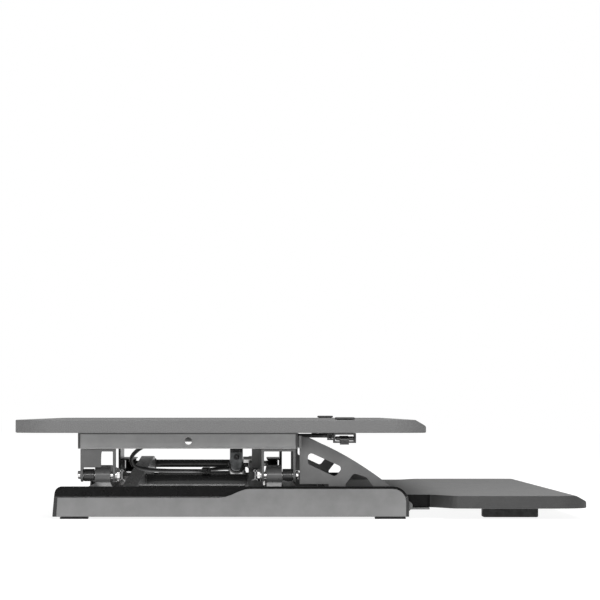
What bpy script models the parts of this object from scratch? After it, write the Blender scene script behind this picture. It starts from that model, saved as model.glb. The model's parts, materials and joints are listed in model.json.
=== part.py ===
"""A two-tier standing desk converter on a double scissor lift, lowered.

Metres, +Z up. X runs across the user, the user stands at -Y, and the origin is the centre of the
footprint on the surface that the converter stands on. One scissor works at the rear and one at the
front. Their fixed pivots are on the left, and their gliding ends are on the right.
"""

import math

import bmesh
import bpy
from mathutils import Matrix, Vector

GAP = 0.0003  # between neighbouring pieces
RUNNING_GAP = 0.0003  # between a pin and its bore
ROUND_STEPS = 24  # sides of a turned piece

# Desktop
BOARD_HALF_WIDTH = 0.4745
BOARD_FRONT = -0.1426
BOARD_BACK = 0.332
BOARD_BOTTOM = 0.101
BOARD_TOP = 0.116
BOARD_CORNER = 0.040
NOSE_RUN = 0.014
NOSE_DROP = 0.0076

# Keyboard tray
TRAY_FRONT = -0.332
TRAY_REAR = -0.036
TRAY_BOTTOM = 0.013
TRAY_TOP = 0.028
TRAY_HALF_REAR = 0.3775
TRAY_HALF_FRONT = 0.432
FLARE_START = -0.147
FLARE_END = -0.179
TRAY_FOOT_X = 0.352
TRAY_FOOT_Y = (-0.279, -0.214)
TRAY_FOOT_BOTTOM = 0.0008

# Scissor linkage, in the plane of X and Z
PIVOT_X = -0.384
LOW_PIVOT_Z = 0.020
HIGH_PIVOT_Z = 0.051
REACH_X = 0.768  # from a fixed pivot to its gliding end, lowered
ARM_HALF_HEIGHT = 0.0125
ARM_END_RADIUS = 0.0093
ARM_TAPER = 0.034
OUTER_ARM_Y = (0.0235, 0.2245)  # lower face of each 18 mm arm
INNER_ARM_Y = (0.045, 0.197)
ARM_THICK = 0.018
PIN_RADIUS = 0.004
MID_PIN_RADIUS = 0.006

# Rails under the desktop
RAIL_X = (0.366, 0.396)
RAIL_Y = (0.0049, 0.2618)
RAIL_Z = (0.082, 0.1007)
RAIL_WALL = 0.003
RAIL_HOLE_Y = 0.133
RAIL_HOLE_Z = 0.091
RAIL_HOLE_RADIUS = 0.0042
CLEVIS_HALF_WIDTH = 0.0095
CLEVIS_BOTTOM = 0.0432
GUIDE_X = (0.240, 0.402)
GUIDE_WEB_END = 0.362
GUIDE_Z = (0.042, 0.060)

# Tray brackets
ARC_TOP = 0.0972
ARC_RISE = 0.0865
ARC_RUN = 0.1398
ARC_END = 0.948  # share of the run at which the plate ends
FLANGE_Y = (-0.150, -0.036)
BRACKET_BACK = 0.0028
BRACKET_HEEL_Z = 0.0405
BRACKET_FOOT_Z = 0.0105
BRACKET_X = (0.381, 0.384)

# Base
BASE_BACK = 0.2918
BASE_FRONT = -0.1248
BASE_BOTTOM = 0.0026
BASE_TOP = 0.0378
BASE_WALL = 0.003
BASE_LEAN = 0.003
SIDE_OUT = 0.402
SIDE_IN = 0.388
TRIM_OUT = 0.405
TRACK_Z = (0.0059, 0.0325)
TRACK_HALF_LENGTH = 0.3935
TRACK_GROOVE_Z = (0.010, 0.030)
TRIM_INSET = 0.0035  # of the trim's front edge
TRIM_BOTTOM = 0.0030
TRIM_LOW = 0.0252  # top of the trim behind the S
TRIM_HIGH = 0.0354  # and in front of it
FLOOR_TOP = 0.0059  # of the plate in the base's sides that the brackets stand on

# Piece sizes along the linkage
GLIDE_TUBE_RADIUS = 0.008
TOP_TUBE_RADIUS = 0.0055
MID_TUBE_RADIUS = 0.0085
UPPER_GLIDE_HALF = (0.012, 0.0067)
LOWER_GLIDE_HALF = (0.013, 0.0097)
LOWER_PIN_HEAD = (0.0065, 0.004)  # radius and height
MID_BOLT_HEAD = (0.0085, 0.003)
UPPER_PIN_HEAD = (0.0049, 0.0033)
NO_HEAD = (0, 0)
BUSH_RADIUS = 0.0073

# Gas spring, from the release head's pin to the tube between the outer arms
SPRING_Y = 0.079
HEAD_PIN = (0.045, 0.062)
EYE = (PIVOT_X + REACH_X, LOW_PIVOT_Z)
CYLINDER_RADIUS = 0.0115
CYLINDER_END = 0.274
ROD_RADIUS = 0.005
ROD_INSERTED = 0.064

# Release handles under the side edges of the desktop
HANDLE_Y = (-0.0604, -0.035)
HANDLE_X = (0.437, 0.472)
HANDLE_BOTTOM = 0.0895
HANDLE_WALL = 0.0018
HANDLE_NECK_X = (0.446, 0.464)
ANCHOR_X = (0.444, 0.450)
LEVER_AXLE_RADIUS = 0.0015
LEVER_PIVOT_X = 0.441
LEVER_PIVOT_Y = -0.045
LEVER_PIVOT_Z = 0.0950

# Bowden cable, as points of its route
CABLE_RADIUS = 0.0024
CLIP_Y = 0.118
CABLE_DROP = [
    (-0.4367, -0.0320, 0.0965), (-0.4200, -0.0325, 0.0970), (-0.3950, -0.0320, 0.0970),
    (-0.3650, -0.0250, 0.0970), (-0.3380, -0.0020, 0.0968), (-0.3200, 0.0400, 0.0965),
    (-0.3080, 0.0900, 0.0960), (-0.2960, 0.1400, 0.0940), (-0.2840, 0.1740, 0.0890),
    (-0.2720, 0.1950, 0.0800), (-0.2640, 0.2050, 0.0690), (-0.2550, 0.2020, 0.0595),
    (-0.2360, 0.1850, 0.0545), (-0.2000, 0.1640, 0.0525), (-0.1400, 0.1420, 0.0510),
    (-0.0700, 0.1270, 0.0495), (-0.0300, 0.1200, 0.0486), (-0.0073, 0.1180, 0.0483),
]
CABLE_HEAD = [
    (0.0073, 0.1178, 0.0483), (0.0190, 0.1165, 0.0486), (0.0320, 0.1120, 0.0492),
    (0.0410, 0.1040, 0.0500), (0.0445, 0.0960, 0.0505), (0.0450, 0.0883, 0.0506),
]

SIDES = (("left", -1), ("right", 1))  # name and sign of X

COLOURS = {
    "black_laminate": ((0.090, 0.090, 0.092, 1.0), 0.55, 0.0),
    "powder_coat": ((0.060, 0.060, 0.062, 1.0), 0.50, 0.2),
    "side_trim": ((0.110, 0.110, 0.112, 1.0), 0.45, 0.2),
    "rubber": ((0.020, 0.020, 0.020, 1.0), 0.80, 0.0),
    "black_plastic": ((0.025, 0.025, 0.026, 1.0), 0.45, 0.0),
    "gloss_black": ((0.012, 0.012, 0.013, 1.0), 0.20, 0.0),
    "zinc": ((0.360, 0.375, 0.370, 1.0), 0.38, 0.9),
    "bright_steel": ((0.600, 0.600, 0.610, 1.0), 0.22, 1.0),
    "chrome": ((0.650, 0.650, 0.660, 1.0), 0.08, 1.0),
}


def clear_scene():
    for obj in list(bpy.data.objects):
        bpy.data.objects.remove(obj, do_unlink=True)


def new_collection(name):
    collection = bpy.data.collections.new(name)
    bpy.context.scene.collection.children.link(collection)
    return collection


def new_material(name):
    colour, roughness, metallic = COLOURS[name]
    material = bpy.data.materials.new(name)
    material.use_nodes = True
    shader = material.node_tree.nodes["Principled BSDF"]
    shader.inputs["Base Color"].default_value = colour
    shader.inputs["Roughness"].default_value = roughness
    shader.inputs["Metallic"].default_value = metallic
    material.diffuse_color = colour
    return material


clear_scene()
PARTS = new_collection("standing_desk_converter")
CUTTERS = new_collection("cutters")
MATERIALS = {name: new_material(name) for name in COLOURS}


# Modelling tools

def add_object(name, mesh):
    obj = bpy.data.objects.new(name, mesh)
    PARTS.objects.link(obj)
    return obj


def mesh_from(name, fill):
    """A new object whose mesh the function fill makes in a bmesh."""
    mesh = bpy.data.meshes.new(name)
    bm = bmesh.new()
    fill(bm)
    bm.to_mesh(mesh)
    bm.free()
    return add_object(name, mesh)


def box(name, low, high):
    size = Vector(high) - Vector(low)
    scale = Matrix.Diagonal((*size, 1.0))
    obj = mesh_from(name, lambda bm: bmesh.ops.create_cube(bm, size=1.0, matrix=scale))
    obj.location = (Vector(high) + Vector(low)) / 2
    return obj


def cylinder(name, start, end, radius, steps=ROUND_STEPS):
    axis = Vector(end) - Vector(start)
    obj = mesh_from(
        name,
        lambda bm: bmesh.ops.create_cone(
            bm, cap_ends=True, segments=steps, radius1=radius, radius2=radius, depth=axis.length
        ),
    )
    obj.rotation_euler = axis.to_track_quat("Z", "Y").to_euler()
    obj.location = (Vector(start) + Vector(end)) / 2
    return obj


def turned(name, profile, start, direction, closed=False):
    """A profile of (radius, distance along direction) turned about the line from start."""
    mesh = bpy.data.meshes.new(name)
    edges = [(i, i + 1) for i in range(len(profile) - 1)]
    if closed:
        edges.append((len(profile) - 1, 0))
    mesh.from_pydata([(r, 0.0, along) for r, along in profile], edges, [])
    obj = add_object(name, mesh)
    screw = obj.modifiers.new("Turn", "SCREW")
    screw.axis = "Z"
    screw.steps = ROUND_STEPS
    screw.render_steps = ROUND_STEPS
    screw.use_merge_vertices = True
    screw.merge_threshold = 0.00001
    screw.use_smooth_shade = False
    obj.rotation_euler = Vector(direction).to_track_quat("Z", "Y").to_euler()
    obj.location = start
    return obj


def solid_mesh(obj):
    """The mesh that an object evaluates to, with its loose caps welded."""
    bpy.context.view_layer.update()
    graph = bpy.context.evaluated_depsgraph_get()
    mesh = bpy.data.meshes.new_from_object(obj.evaluated_get(graph))
    bm = bmesh.new()
    bm.from_mesh(mesh)
    bmesh.ops.remove_doubles(bm, verts=bm.verts, dist=0.000001)
    bmesh.ops.recalc_face_normals(bm, faces=bm.faces)
    bm.to_mesh(mesh)
    bm.free()
    return mesh


def as_mesh(obj):
    """Replaces a curve by the mesh that it evaluates to."""
    name = obj.name
    matrix = obj.matrix_world.copy()
    mesh = solid_mesh(obj)
    bpy.data.objects.remove(obj, do_unlink=True)
    made = add_object(name, mesh)
    made.matrix_world = matrix
    return made


PLATE_AXES = {
    "X": Matrix(((0, 0, 1, 0), (1, 0, 0, 0), (0, 1, 0, 0), (0, 0, 0, 1))),
    "Y": Matrix(((1, 0, 0, 0), (0, 0, -1, 0), (0, 1, 0, 0), (0, 0, 0, 1))),
    "Z": Matrix.Identity(4),
}


def plate(name, outlines, axis, low, high):
    """Flat outlines in the plane across an axis, filled, from low to high along that axis.

    An outline is in (Y, Z) across X, (X, Z) across Y, and (X, Y) across Z. One inside another is
    a hole.
    """
    curve = bpy.data.curves.new(name, "CURVE")
    curve.dimensions = "2D"
    curve.fill_mode = "BOTH"
    curve.extrude = (high - low) / 2
    for outline in outlines:
        spline = curve.splines.new("POLY")
        spline.points.add(len(outline) - 1)
        for point, (x, y) in zip(spline.points, outline):
            point.co = (x, y, 0.0, 1.0)
        spline.use_cyclic_u = True
    obj = bpy.data.objects.new(name, curve)
    PARTS.objects.link(obj)
    sign = -1 if axis == "Y" else 1
    obj.matrix_world = PLATE_AXES[axis] @ Matrix.Translation((0, 0, sign * (high + low) / 2))
    bpy.context.view_layer.update()
    return as_mesh(obj)


def rounded(corners, steps=6):
    """A closed outline of (x, y, radius) corners, each one turned into an arc of that radius."""
    points = []
    count = len(corners)
    for index, (x, y, radius) in enumerate(corners):
        here = Vector((x, y))
        if radius == 0:
            points.append(here)
            continue
        back = Vector(corners[index - 1][:2]) - here
        ahead = Vector(corners[(index + 1) % count][:2]) - here
        back.normalize()
        ahead.normalize()
        half = back.angle(ahead) / 2
        centre = here + (back + ahead).normalized() * radius / math.sin(half)
        first = here + back * radius / math.tan(half) - centre
        last = here + ahead * radius / math.tan(half) - centre
        sweep = first.angle_signed(last)
        for step in range(steps + 1):
            turn = Matrix.Rotation(-sweep * step / steps, 2)
            points.append(centre + turn @ first)
    return [(point.x, point.y) for point in points]


def circle(x, y, radius, steps=ROUND_STEPS):
    angles = [2 * math.pi * step / steps for step in range(steps)]
    return [(x + radius * math.cos(a), y + radius * math.sin(a)) for a in angles]


def smooth_step(start, end, steps=6):
    """An S-shaped run of points between two points, level at both ends."""
    points = []
    for step in range(steps + 1):
        part = step / steps
        rise = part * part * (3 - 2 * part)
        points.append((
            start[0] + (end[0] - start[0]) * part,
            start[1] + (end[1] - start[1]) * rise,
        ))
    return points


def boolean(obj, other, operation):
    modifier = obj.modifiers.new(operation.title(), "BOOLEAN")
    modifier.operation = operation
    modifier.solver = "EXACT"
    modifier.object = other
    for collection in list(other.users_collection):
        collection.objects.unlink(other)
    CUTTERS.objects.link(other)
    other.hide_render = True
    other.display_type = "WIRE"


def join(obj, *others):
    for other in others:
        boolean(obj, other, "UNION")


def cut(obj, *others):
    for other in others:
        boolean(obj, other, "DIFFERENCE")


def soften(obj, width, segments=1):
    """Breaks the sharp edges of a piece with a small chamfer."""
    bevel = obj.modifiers.new("Edges", "BEVEL")
    bevel.width = width
    bevel.segments = segments
    bevel.limit_method = "ANGLE"
    bevel.angle_limit = math.radians(50)


def smooth_route(points, samples):
    """Evenly spaced points on a Catmull-Rom curve through the points of a route."""
    knots = [Vector(point) for point in points]
    knots = [2 * knots[0] - knots[1], *knots, 2 * knots[-1] - knots[-2]]
    fine = []
    for i in range(1, len(knots) - 2):
        a, b, c, d = knots[i - 1:i + 3]
        for step in range(8):
            t = step / 8
            fine.append(
                0.5 * (2 * b + (c - a) * t + (2 * a - 5 * b + 4 * c - d) * t**2
                       + (3 * b - a - 3 * c + d) * t**3)
            )
    fine.append(knots[-2])
    lengths = [0.0]
    for start, end in zip(fine, fine[1:]):
        lengths.append(lengths[-1] + (end - start).length)
    route = []
    for sample in range(samples):
        target = lengths[-1] * sample / (samples - 1)
        index = next(i for i in range(1, len(lengths)) if lengths[i] >= target - 1e-9)
        part = (target - lengths[index - 1]) / (lengths[index] - lengths[index - 1])
        route.append(fine[index - 1].lerp(fine[index], part))
    return route


def cable(name, points, samples):
    curve = bpy.data.curves.new(name, "CURVE")
    curve.dimensions = "3D"
    curve.bevel_depth = CABLE_RADIUS
    curve.bevel_resolution = 2
    curve.use_fill_caps = True
    route = smooth_route(points, samples)
    spline = curve.splines.new("POLY")
    spline.points.add(len(route) - 1)
    for point, place in zip(spline.points, route):
        point.co = (*place, 1.0)
    obj = bpy.data.objects.new(name, curve)
    PARTS.objects.link(obj)
    return obj


def across(sign, inner, outer):
    """The X range between two distances from the middle, on the side of that sign."""
    return (sign * outer, sign * inner) if sign < 0 else (sign * inner, sign * outer)


def side_box(name, sign, x, y, z):
    low_x, high_x = across(sign, *x)
    return box(name, (low_x, y[0], z[0]), (high_x, y[1], z[1]))


# Body groups: an empty on each joint's axis, which the moving pieces are parented to

def add_group(name, place):
    empty = bpy.data.objects.new(name, None)
    empty.location = place
    empty.empty_display_size = 0.03
    PARTS.objects.link(empty)
    return empty


def scissor_height(x, rising):
    """Height of a lowered arm's centre line at x: the inner arms rise to the right."""
    part = (x - PIVOT_X) / REACH_X
    if rising:
        return LOW_PIVOT_Z + (HIGH_PIVOT_Z - LOW_PIVOT_Z) * part
    return HIGH_PIVOT_Z - (HIGH_PIVOT_Z - LOW_PIVOT_Z) * part


MID_X = PIVOT_X + REACH_X / 2
MID_Z = (LOW_PIVOT_Z + HIGH_PIVOT_Z) / 2
MID_Y = (INNER_ARM_Y[0] + INNER_ARM_Y[1] + ARM_THICK) / 2
FAR_X = PIVOT_X + REACH_X

GROUPS = {
    "base": add_group("base_frame", (0, 0, 0)),
    "inner": add_group("inner_arms_axis", (PIVOT_X, MID_Y, LOW_PIVOT_Z)),
    "outer": add_group("outer_arms_axis", (MID_X, MID_Y, MID_Z)),
    "platform": add_group("platform_axis", (PIVOT_X, MID_Y, HIGH_PIVOT_Z)),
    "upper_glides": add_group("upper_glides_axis", (FAR_X, MID_Y, HIGH_PIVOT_Z)),
    "lower_glides": add_group("lower_glides_axis", (FAR_X, MID_Y, LOW_PIVOT_Z)),
    "cylinder": add_group("gas_spring_axis", (EYE[0], SPRING_Y, EYE[1])),
    "rod": add_group("gas_spring_rod_axis", (HEAD_PIN[0], SPRING_Y, HEAD_PIN[1])),
    "lever_left": add_group(
        "release_lever_left_axis", (-LEVER_PIVOT_X, LEVER_PIVOT_Y, LEVER_PIVOT_Z)
    ),
    "lever_right": add_group(
        "release_lever_right_axis", (LEVER_PIVOT_X, LEVER_PIVOT_Y, LEVER_PIVOT_Z)
    ),
}


def place(obj, group, material):
    """Gives a finished piece its material and its body, with its shape unmoved."""
    empty = GROUPS[group]
    matrix = obj.matrix_basis.copy()
    obj.parent = empty
    obj.matrix_parent_inverse = Matrix.Translation(empty.location).inverted()
    obj.matrix_basis = matrix
    obj.data.materials.clear()
    obj.data.materials.append(MATERIALS[material])
    if obj.type == "MESH":
        obj.data.shade_smooth()
        obj.data.set_sharp_from_angle(angle=math.radians(35))


# Base

def side_profile(inset, top):
    """The side's outline in (Y, Z): a leaning back end and a large round at the top of the front."""
    back = BASE_BACK - inset
    front = BASE_FRONT + inset
    low = BASE_BOTTOM + inset
    high = top - inset
    return rounded([
        (front, low, 0), (back, low, 0), (back - BASE_LEAN, high, 0.008),
        (front, high, 0.018 - inset),
    ])


def base_side(name, sign):
    """A steel channel, open towards the middle, with a shoulder that slopes in to its top edge."""
    def section(inset, reach):
        out = sign * (SIDE_OUT - inset)
        lower = BASE_BOTTOM + inset
        upper = BASE_TOP - inset
        shoulder = sign * (SIDE_OUT - 0.008 - inset * 0.6)
        return [
            (out, lower), (out, 0.0262), (shoulder, upper),
            (sign * reach, upper), (sign * reach, lower),
        ]
    shell = plate(name, [section(0.0, SIDE_IN)], "Y", BASE_FRONT - 0.01, BASE_BACK + 0.01)
    outline = plate(name + "_outline", [side_profile(0.0, BASE_TOP)], "X", -0.5, 0.5)
    boolean(shell, outline, "INTERSECT")
    hollow = plate(name + "_hollow", [section(BASE_WALL, 0.36)], "Y", BASE_FRONT, BASE_BACK)
    inside = plate(name + "_inside", [side_profile(BASE_WALL, BASE_TOP)], "X", -0.5, 0.5)
    boolean(hollow, inside, "INTERSECT")
    cut(shell, hollow)
    floor = side_box(
        name + "_floor", sign, (0.366, SIDE_IN + 0.002), (0.008, 0.284), (BASE_BOTTOM, 0.0056)
    )
    cover = side_box(
        name + "_cover", sign, (0.370, SIDE_IN + 0.0015), (0.067, 0.191), (0.0351, 0.0404)
    )
    join(shell, floor, cover)
    place(shell, "base", "powder_coat")


def side_trim(name, sign):
    """The outer face: low behind, and stepping up in an S to full height in front."""
    front = BASE_FRONT + TRIM_INSET
    step = smooth_step((0.0958, TRIM_LOW), (0.0613, TRIM_HIGH))
    corner = rounded([
        (0.0613, TRIM_HIGH, 0), (front, TRIM_HIGH, 0.0155), (front, TRIM_BOTTOM, 0),
    ])[1:-1]
    back = [(0.2870, TRIM_BOTTOM), (0.2856, TRIM_LOW)]
    outline = back + step + corner + [(front, TRIM_BOTTOM)]
    low, high = across(sign, SIDE_OUT + GAP, TRIM_OUT)
    trim = plate(name, [outline], "X", low, high)
    place(trim, "base", "side_trim")


def track(name, y, open_sign):
    """A cross-member with a C section, whose opening towards the arms guides the lower glides."""
    end = TRACK_HALF_LENGTH
    member = box(name, (-end, y[0], TRACK_Z[0]), (end, y[1], TRACK_Z[1]))
    open_to = (y[0] - 0.001, y[1] - 0.003) if open_sign < 0 else (y[0] + 0.003, y[1] + 0.001)
    groove = box(
        name + "_groove",
        (-end - 0.01, open_to[0], TRACK_GROOVE_Z[0]), (end + 0.01, open_to[1], TRACK_GROOVE_Z[1]),
    )
    cut(member, groove)
    place(member, "base", "powder_coat")


def pivot_bracket(name, y, foot_y):
    """An angle on the base's floor, whose upright carries the pin of an inner arm."""
    low, high = PIVOT_X - 0.012, PIVOT_X + 0.012
    upright = plate(name, [
        rounded([
            (low, FLOOR_TOP, 0), (high, FLOOR_TOP, 0), (high, 0.032, 0.011), (low, 0.032, 0.011),
        ]),
        circle(PIVOT_X, LOW_PIVOT_Z, PIN_RADIUS + RUNNING_GAP),
    ], "Y", y[0], y[1])
    foot = box(name + "_foot", (low, foot_y[0], FLOOR_TOP), (high, foot_y[1], 0.0084))
    join(upright, foot)
    place(upright, "base", "powder_coat")


def foot_pad(name, sign, y):
    pad = side_box(name, sign, (0.389, 0.4012), y, (0.0, BASE_BOTTOM - GAP))
    soften(pad, 0.0004)
    place(pad, "base", "rubber")


# Scissor arms

def arm_outline(start, end):
    """A bar between two pivots in (X, Z), necked down to a round eye at each end."""
    along = (Vector(end) - Vector(start)).normalized()
    up = Vector((-along.y, along.x))
    points = []
    for centre, forward in ((Vector(end), 1), (Vector(start), -1)):
        neck = centre - along * forward * ARM_TAPER
        points.append(neck - up * forward * ARM_HALF_HEIGHT)
        for step in range(9):
            angle = -math.pi / 2 + math.pi * step / 8
            points.append(
                centre + forward * ARM_END_RADIUS * (along * math.cos(angle) + up * math.sin(angle))
            )
        points.append(neck + up * forward * ARM_HALF_HEIGHT)
    return [(point.x, point.y) for point in points]


def arm(name, group, start, end, y, holes):
    outline = arm_outline(start, end)
    bores = [circle(x, z, radius + RUNNING_GAP) for x, z, radius in holes]
    bar = plate(name, [outline, *bores], "Y", y, y + ARM_THICK)
    place(bar, group, "powder_coat")


def cross_tube(name, group, x, z, radius, y):
    tube = turned(
        name,
        [(0, y[1]), (radius - 0.0008, y[1]), (radius, y[1] - 0.0008), (radius, y[0] + 0.0008),
         (radius - 0.0008, y[0]), (0, y[0])],
        (x, 0, z), (0, 1, 0),
    )
    place(tube, group, "powder_coat")


def pin(name, group, centre, radius, shaft, head=NO_HEAD):
    """A pin along Y: shaft from one Y to the other, with any head beyond the second."""
    direction = 1 if shaft[1] > shaft[0] else -1
    length = abs(shaft[1] - shaft[0])
    head_radius, height = head
    if height:
        profile = [
            (0, length + height), (head_radius - 0.0006, length + height),
            (head_radius, length + height - 0.0006), (head_radius, length), (radius, length),
        ]
    else:
        profile = [(0, length), (radius - 0.0005, length), (radius, length - 0.0005)]
    profile += [(radius, 0), (0, 0)]
    piece = turned(name, profile, (centre[0], shaft[0], centre[1]), (0, direction, 0))
    place(piece, group, "bright_steel")


def glide(name, group, z, half, y):
    """A nylon block that slides in a track and turns on its pin."""
    left, right = FAR_X - half[0], FAR_X + half[0]
    low, high = z - half[1], z + half[1]
    outline = rounded([
        (left, low, 0.002), (right, low, 0.002), (right, high, 0.002), (left, high, 0.002),
    ], 3)
    block = plate(name, [outline, circle(FAR_X, z, PIN_RADIUS + RUNNING_GAP)], "Y", y[0], y[1])
    place(block, group, "black_plastic")


def cable_clip():
    """A saddle on the middle tube, which holds the cable's sheath."""
    clip = box(
        "cable_clip",
        (-0.007, CLIP_Y - 0.006, MID_Z + 0.0088), (0.007, CLIP_Y + 0.006, MID_Z + 0.0172),
    )
    soften(clip, 0.0015)
    place(clip, "outer", "black_plastic")


# Gas spring

def spring_line():
    """The eye's centre and the direction from it to the release head's pin."""
    eye = Vector((EYE[0], SPRING_Y, EYE[1]))
    pin = Vector((HEAD_PIN[0], SPRING_Y, HEAD_PIN[1]))
    return eye, (pin - eye).normalized(), (pin - eye).length


def gas_spring():
    eye, along, length = spring_line()
    bore = ROD_RADIUS + RUNNING_GAP
    well_end = CYLINDER_END - ROD_INSERTED - 0.006
    barrel = turned("gas_spring_cylinder", [
        (bore, CYLINDER_END), (CYLINDER_RADIUS - 0.002, CYLINDER_END),
        (CYLINDER_RADIUS, CYLINDER_END - 0.002), (CYLINDER_RADIUS, 0.020),
        (CYLINDER_RADIUS - 0.003, 0.014), (0, 0.014), (0, well_end), (bore, well_end),
    ], eye, along, closed=True)
    lug = cylinder("gas_spring_lug", eye + along * 0.006, eye + along * 0.016, 0.0065)
    half_hub = Vector((0, 0.008, 0))
    half_bore = Vector((0, 0.010, 0))
    hub = cylinder("gas_spring_hub", eye - half_hub, eye + half_hub, 0.0122)
    hub_bore = cylinder(
        "gas_spring_bore", eye - half_bore, eye + half_bore, GLIDE_TUBE_RADIUS + RUNNING_GAP
    )
    join(barrel, lug, hub)
    cut(barrel, hub_bore)
    place(barrel, "cylinder", "gloss_black")

    rod = cylinder(
        "gas_spring_rod",
        eye + along * (CYLINDER_END - ROD_INSERTED),
        eye + along * (length - 0.0223),
        ROD_RADIUS,
    )
    place(rod, "rod", "chrome")


def release_head():
    """A zinc yoke on the rod's end, shaped like a shield, with the valve's lever in it."""
    eye, along, length = spring_line()
    half = 0.0085
    outline = rounded([
        (SPRING_Y - half, 0.0775, 0.002), (SPRING_Y - half, 0.0600, 0.004),
        (SPRING_Y - 0.0055, 0.0475, 0.005), (SPRING_Y + 0.0055, 0.0475, 0.005),
        (SPRING_Y + half, 0.0600, 0.004), (SPRING_Y + half, 0.0775, 0.002),
    ], 4)
    shield = plate("release_head", [outline], "X", HEAD_PIN[0] - 0.009, HEAD_PIN[0] + 0.008)
    collar = cylinder(
        "release_head_collar", eye + along * (length - 0.022), eye + along * (length - 0.004), 0.0075
    )
    join(shield, collar)
    place(shield, "rod", "zinc")


def spring_bracket():
    """An angle on top of the front inner arm, which carries the release head's pin."""
    base_z = scissor_height(0.058, True) + ARM_HALF_HEIGHT + 0.0006
    bracket = box("spring_bracket", (0.034, 0.0435, base_z), (0.037, 0.0587, 0.0765))
    foot = box("spring_bracket_foot", (0.0355, 0.0435, base_z), (0.058, 0.0587, base_z + 0.003))
    ear = plate("spring_bracket_ear", [
        rounded([
            (0.0355, base_z, 0), (0.056, base_z, 0), (0.056, 0.0725, 0.008), (0.0355, 0.0765, 0),
        ]),
    ], "Y", 0.0557, 0.0587)
    join(bracket, foot, ear)
    place(bracket, "inner", "powder_coat")
    pin("spring_pin", "inner", HEAD_PIN, PIN_RADIUS, (0.0590, SPRING_Y - 0.0089))


# Platform

def desktop():
    half = BOARD_HALF_WIDTH
    board = plate("desktop", [rounded([
        (-half, BOARD_FRONT, BOARD_CORNER), (half, BOARD_FRONT, BOARD_CORNER),
        (half, BOARD_BACK, BOARD_CORNER), (-half, BOARD_BACK, BOARD_CORNER),
    ], 8)], "Z", BOARD_BOTTOM, BOARD_TOP)
    nose = plate("desktop_nose", [[
        (BOARD_FRONT - 0.002, BOARD_TOP - NOSE_DROP - NOSE_DROP * 0.002 / NOSE_RUN),
        (BOARD_FRONT + NOSE_RUN, BOARD_TOP), (BOARD_FRONT + NOSE_RUN, BOARD_TOP + 0.002),
        (BOARD_FRONT - 0.002, BOARD_TOP + 0.002),
    ]], "X", -0.5, 0.5)
    cut(board, nose)
    for side, sign in SIDES:
        well = side_box(
            "handle_well_" + side, sign, (0.4457, 0.4643), (-0.0573, -0.0387), (0.095, 0.125)
        )
        cut(board, well)
    place(board, "platform", "black_laminate")


def keyboard_tray():
    right = smooth_step((FLARE_START, TRAY_HALF_REAR), (FLARE_END, TRAY_HALF_FRONT - 0.004), 7)
    side = [(x, y) for y, x in right]
    front = rounded([
        (TRAY_HALF_FRONT - 0.004, FLARE_END, 0), (TRAY_HALF_FRONT, -0.215, 0.02),
        (TRAY_HALF_FRONT, TRAY_FRONT, 0.034), (0, TRAY_FRONT, 0),
    ], 6)[1:-1]
    half = [(TRAY_HALF_REAR, TRAY_REAR)] + side + front
    outline = half + [(-x, y) for x, y in reversed(half)]
    tray = plate("keyboard_tray", [outline], "Z", TRAY_BOTTOM, TRAY_TOP)
    nose = plate("keyboard_tray_nose", [[
        (TRAY_FRONT - 0.002, TRAY_TOP - 0.0077 - 0.0077 * 0.002 / 0.015),
        (TRAY_FRONT + 0.015, TRAY_TOP), (TRAY_FRONT + 0.015, TRAY_TOP + 0.002),
        (TRAY_FRONT - 0.002, TRAY_TOP + 0.002),
    ]], "X", -0.5, 0.5)
    cut(tray, nose)
    place(tray, "platform", "black_laminate")


def tray_foot(name, sign):
    pad = side_box(
        name, sign, (TRAY_FOOT_X - 0.014, TRAY_FOOT_X + 0.014), TRAY_FOOT_Y,
        (TRAY_FOOT_BOTTOM, TRAY_BOTTOM - GAP),
    )
    soften(pad, 0.001)
    place(pad, "platform", "rubber")


def tray_bracket(name, sign):
    """A plate that carries the tray, under a long arc, with a slot, an opening and two flanges."""
    arc = []
    for step in range(13):
        part = ARC_END * step / 12
        height = ARC_TOP - ARC_RISE * (0.42 * part + 0.58 * part ** 1.75)
        arc.append((BRACKET_BACK - ARC_RUN * part, height))
    outline = [(BRACKET_BACK, BRACKET_HEEL_Z), *arc]
    tip = BRACKET_BACK - ARC_RUN * ARC_END
    outline += [(tip, BRACKET_FOOT_Z), (-0.036, BRACKET_FOOT_Z), (-0.031, BRACKET_HEEL_Z)]
    slot = rounded([
        (-0.0070, 0.0785, 0.004), (-0.0070, 0.0640, 0.003), (-0.0390, 0.0490, 0.004),
        (-0.0480, 0.0600, 0.004),
    ], 4)
    opening = rounded([
        (-0.0610, 0.0530, 0.004), (-0.0500, 0.0390, 0.003), (-0.0620, 0.0300, 0.003),
        (-0.0890, 0.0300, 0.003), (-0.0760, 0.0480, 0.004),
    ], 4)
    low, high = across(sign, *BRACKET_X)
    bracket = plate(name, [outline, slot, opening], "X", low, high)
    flange = side_box(
        name + "_flange", sign, (0.336, BRACKET_X[0] + 0.0015), FLANGE_Y,
        (BRACKET_FOOT_Z, TRAY_BOTTOM - GAP),
    )
    heel = side_box(name + "_heel", sign, RAIL_X, (0.0008, 0.0040), (0.0825, ARC_TOP))
    join(bracket, flange, heel)
    place(bracket, "platform", "powder_coat")


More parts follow.
